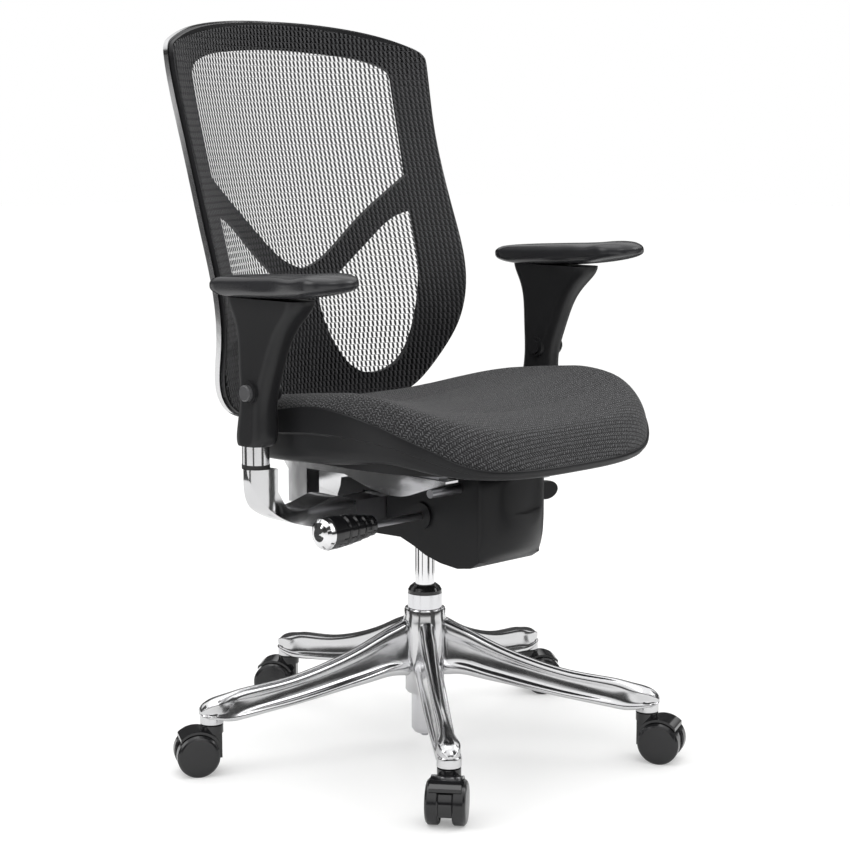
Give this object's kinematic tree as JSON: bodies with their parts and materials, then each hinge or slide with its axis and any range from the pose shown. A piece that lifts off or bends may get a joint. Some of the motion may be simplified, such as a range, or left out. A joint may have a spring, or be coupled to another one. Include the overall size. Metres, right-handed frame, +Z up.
{
  "type": "swivel office chair",
  "caption": "Swivel office chair with open mesh back, padded seat, height-adjustable arms, gas lift, tilt mechanism and a polished five-arm caster base.",
  "frame": {"origin": "on the column's axis at floor level", "axes": "+Z up, the seat faces -Y, +X to the sitter's left"},
  "size_m": [0.7313, 0.7123, 1.057],
  "materials": {
    "polished_aluminium": "polished casting",
    "lift_steel": "bright plated tube",
    "chrome": "mirror",
    "bush_black": "gloss",
    "steel": "plain",
    "cover_black": "fine moulded texture",
    "gloss_black": "gloss",
    "gasket_rubber": "matte",
    "arm_pad_soft": "soft satin skin",
    "back_mesh_fabric": "open woven mesh",
    "seat_fabric": "coarse ribbed weave",
    "caster_wheel": "gloss nylon"
  },
  "bodies": {
    "base": {"base_star": "polished_aluminium", "lift_outer_tube": "lift_steel", "lift_guide_bush": "bush_black", "lift_thrust_bearing": "steel", "lift_retaining_clip": "steel"},
    "lift_rod": {"lift_piston_rod": "steel"},
    "mechanism": {"lift_cylinder": "chrome", "mechanism_cover": "cover_black", "mechanism_front_cover": "cover_black", "tilt_chassis": "steel", "pivot_shafts": "steel", "tilt_springs": "steel", "arm_bracket_right": "polished_aluminium", "arm_bracket_left": "polished_aluminium", "arm_bracket_bolts": "steel", "arm_post_right": "polished_aluminium", "arm_post_left": "polished_aluminium", "arm_gaskets": "gasket_rubber"},
    "valve_pin": {"lift_valve_pin": "steel"},
    "tension_knob": {"tension_knob_shaft": "steel", "tension_knob_grip": "gloss_black", "tension_knob_cap": "chrome"},
    "height_lever": {"height_lever": "steel", "height_lever_paddle": "cover_black"},
    "arm_right": {"arm_sleeve_right": "cover_black", "arm_pad_base_right": "gloss_black", "arm_pad_right": "arm_pad_soft"},
    "arm_left": {"arm_sleeve_left": "cover_black", "arm_pad_base_left": "gloss_black", "arm_pad_left": "arm_pad_soft"},
    "arm_button_right": {"arm_button_right": "gloss_black"},
    "arm_button_left": {"arm_button_left": "gloss_black"},
    "back_yoke": {"back_carrier": "polished_aluminium"},
    "back": {"back_rear_frame": "polished_aluminium", "back_mesh_frame": "cover_black", "back_mesh": "back_mesh_fabric"},
    "seat_frame": {"seat_carrier": "polished_aluminium", "seat_slide_rails": "steel"},
    "seat": {"seat_pan": "cover_black", "seat_cushion": "seat_fabric"},
    "caster_1": {"caster_1_housing": "gloss_black", "caster_1_pins": "steel"},
    "caster_1_left": {"caster_1_wheel_left": "caster_wheel"},
    "caster_1_right": {"caster_1_wheel_right": "caster_wheel"},
    "caster_2": {"caster_2_housing": "gloss_black", "caster_2_pins": "steel"},
    "caster_2_left": {"caster_2_wheel_left": "caster_wheel"},
    "caster_2_right": {"caster_2_wheel_right": "caster_wheel"},
    "caster_3": {"caster_3_housing": "gloss_black", "caster_3_pins": "steel"},
    "caster_3_left": {"caster_3_wheel_left": "caster_wheel"},
    "caster_3_right": {"caster_3_wheel_right": "caster_wheel"},
    "caster_4": {"caster_4_housing": "gloss_black", "caster_4_pins": "steel"},
    "caster_4_left": {"caster_4_wheel_left": "caster_wheel"},
    "caster_4_right": {"caster_4_wheel_right": "caster_wheel"},
    "caster_5": {"caster_5_housing": "gloss_black", "caster_5_pins": "steel"},
    "caster_5_left": {"caster_5_wheel_left": "caster_wheel"},
    "caster_5_right": {"caster_5_wheel_right": "caster_wheel"}
  },
  "joints": [
    {"name": "seat_swivel", "type": "hinge", "parent": "base", "child": "lift_rod", "pos_m": [0, 0, 0.1], "axis": [0, 0, 1], "continuous": true},
    {"name": "seat_height", "type": "slide", "parent": "lift_rod", "child": "mechanism", "axis": [0, 0, 1], "range_m": [-0.06, 0.04]},
    {"name": "tension_knob_turn", "type": "hinge", "parent": "mechanism", "child": "tension_knob", "pos_m": [-0.161, -0.058, 0.358], "axis": [1, 0, 0], "continuous": true},
    {"name": "height_lever_lift", "type": "hinge", "parent": "mechanism", "child": "height_lever", "pos_m": [0.048, -0.058, 0.362], "axis": [0, -1, 0], "range_deg": [0, 5], "stiffness_Nm_per_rad": 20, "springref_deg": -2.86},
    {"name": "valve_pin_press", "type": "slide", "parent": "mechanism", "child": "valve_pin", "axis": [0, 0, -1], "range_m": [0, 0.0046]},
    {"name": "arm_height_right", "type": "slide", "parent": "mechanism", "child": "arm_right", "axis": [0, 0, 1], "range_m": [-0.02, 0.06]},
    {"name": "arm_height_left", "type": "slide", "parent": "mechanism", "child": "arm_left", "axis": [0, 0, 1], "range_m": [-0.04, 0.04]},
    {"name": "arm_button_right_press", "type": "slide", "parent": "arm_right", "child": "arm_button_right", "axis": [1, 0, 0], "range_m": [0, 0.004], "stiffness_N_per_m": 600, "springref_m": -0.002},
    {"name": "arm_button_left_press", "type": "slide", "parent": "arm_left", "child": "arm_button_left", "axis": [-1, 0, 0], "range_m": [0, 0.004], "stiffness_N_per_m": 600, "springref_m": -0.002},
    {"name": "back_tilt", "type": "hinge", "parent": "mechanism", "child": "back_yoke", "pos_m": [0, 0.082, 0.35], "axis": [-1, 0, 0], "range_deg": [0, 20], "stiffness_Nm_per_rad": 90, "springref_deg": -25.78},
    {"name": "seat_tilt", "type": "hinge", "parent": "mechanism", "child": "seat_frame", "pos_m": [0, -0.13, 0.405], "axis": [-1, 0, 0], "range_deg": [0, 8]},
    {"name": "back_height", "type": "slide", "parent": "back_yoke", "child": "back", "axis": [0, 0, 1], "range_m": [0, 0.05]},
    {"name": "seat_depth", "type": "slide", "parent": "seat_frame", "child": "seat", "axis": [0, -1, 0], "range_m": [0, 0.05]},
    {"name": "caster_1_swivel", "type": "hinge", "parent": "base", "child": "caster_1", "pos_m": [-0.20648, -0.25227, 0.08], "axis": [0, 0, 1], "continuous": true},
    {"name": "caster_1_left_roll", "type": "hinge", "parent": "caster_1", "child": "caster_1_left", "pos_m": [-0.22394, -0.26566, 0.03], "axis": [0.6088, -0.7934, 0], "continuous": true},
    {"name": "caster_1_right_roll", "type": "hinge", "parent": "caster_1", "child": "caster_1_right", "pos_m": [-0.22394, -0.26566, 0.03], "axis": [0.6088, -0.7934, 0], "continuous": true},
    {"name": "caster_2_swivel", "type": "hinge", "parent": "base", "child": "caster_2", "pos_m": [0.17612, -0.27433, 0.08], "axis": [0, 0, 1], "continuous": true},
    {"name": "caster_2_left_roll", "type": "hinge", "parent": "caster_2", "child": "caster_2_left", "pos_m": [0.18531, -0.29432, 0.03], "axis": [0.9085, 0.4179, 0], "continuous": true},
    {"name": "caster_2_right_roll", "type": "hinge", "parent": "caster_2", "child": "caster_2_right", "pos_m": [0.18531, -0.29432, 0.03], "axis": [0.9085, 0.4179, 0], "continuous": true},
    {"name": "caster_3_swivel", "type": "hinge", "parent": "base", "child": "caster_3", "pos_m": [0.31533, 0.08273, 0.08], "axis": [0, 0, 1], "continuous": true},
    {"name": "caster_3_left_roll", "type": "hinge", "parent": "caster_3", "child": "caster_3_left", "pos_m": [0.33267, 0.06918, 0.03], "axis": [0.6157, 0.788, 0], "continuous": true},
    {"name": "caster_3_right_roll", "type": "hinge", "parent": "caster_3", "child": "caster_3_right", "pos_m": [0.33267, 0.06918, 0.03], "axis": [0.6157, 0.788, 0], "continuous": true},
    {"name": "caster_4_swivel", "type": "hinge", "parent": "base", "child": "caster_4", "pos_m": [0.01877, 0.32546, 0.08], "axis": [0, 0, 1], "continuous": true},
    {"name": "caster_4_left_roll", "type": "hinge", "parent": "caster_4", "child": "caster_4_left", "pos_m": [0.00522, 0.3428, 0.03], "axis": [-0.788, -0.6157, 0], "continuous": true},
    {"name": "caster_4_right_roll", "type": "hinge", "parent": "caster_4", "child": "caster_4_right", "pos_m": [0.00522, 0.3428, 0.03], "axis": [-0.788, -0.6157, 0], "continuous": true},
    {"name": "caster_5_swivel", "type": "hinge", "parent": "base", "child": "caster_5", "pos_m": [-0.30373, 0.11842, 0.08], "axis": [0, 0, 1], "continuous": true},
    {"name": "caster_5_left_roll", "type": "hinge", "parent": "caster_5", "child": "caster_5_left", "pos_m": [-0.32273, 0.12952, 0.03], "axis": [-0.5045, -0.8634, 0], "continuous": true},
    {"name": "caster_5_right_roll", "type": "hinge", "parent": "caster_5", "child": "caster_5_right", "pos_m": [-0.32273, 0.12952, 0.03], "axis": [-0.5045, -0.8634, 0], "continuous": true}
  ],
  "couplings": [
    {"joint": "valve_pin_press", "follows": "height_lever_lift", "m_per_rad": 0.052},
    {"joint": "seat_tilt", "follows": "back_tilt", "ratio": 0.4}
  ]
}
